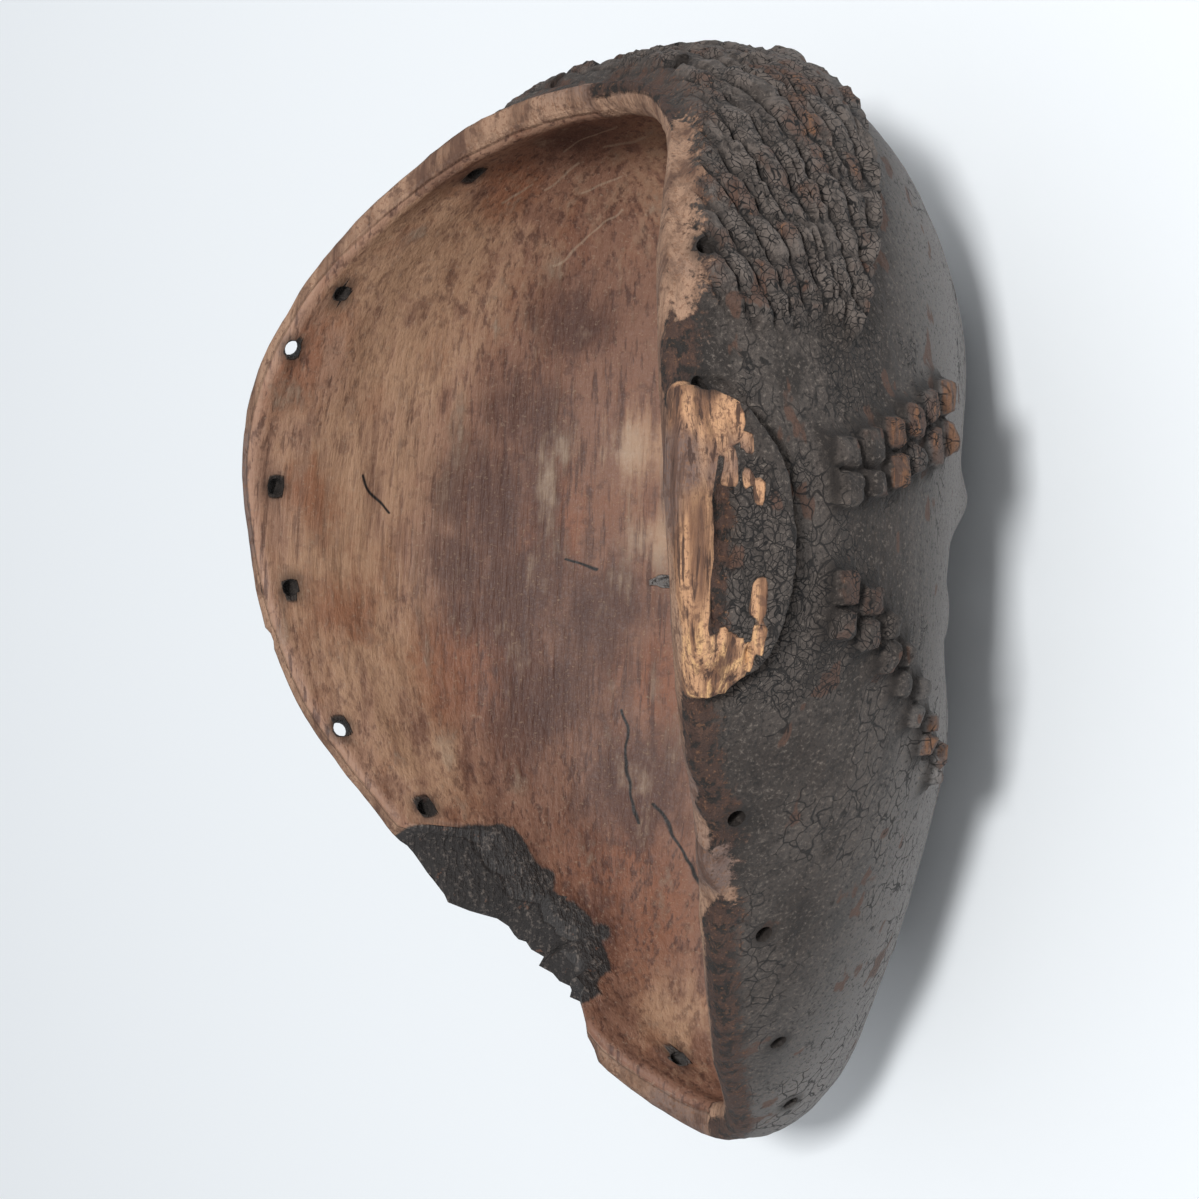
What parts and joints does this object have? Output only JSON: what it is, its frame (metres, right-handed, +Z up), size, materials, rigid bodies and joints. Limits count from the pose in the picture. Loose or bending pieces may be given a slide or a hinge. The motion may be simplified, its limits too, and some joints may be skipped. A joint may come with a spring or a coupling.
{
  "type": "carved wooden face mask",
  "caption": "Hollow carved wooden face mask with a tufted coiffure, keloid blocks, tie holes and a broken jaw edge, lying on its face.",
  "frame": {"origin": "on the surface the mask lies on, under the middle of its bounding box", "axes": "+Z up out of the open back, +Y towards the crown, +X towards the mask's proper right ear"},
  "size_m": [0.2082, 0.2614, 0.1403],
  "materials": {
    "carved_wood": "aged carved wood, dark crusty patina outside, worn brown wood inside and pale breaks along the rim"
  },
  "bodies": {
    "root": {"mask": "carved_wood"}
  },
  "joints": []
}
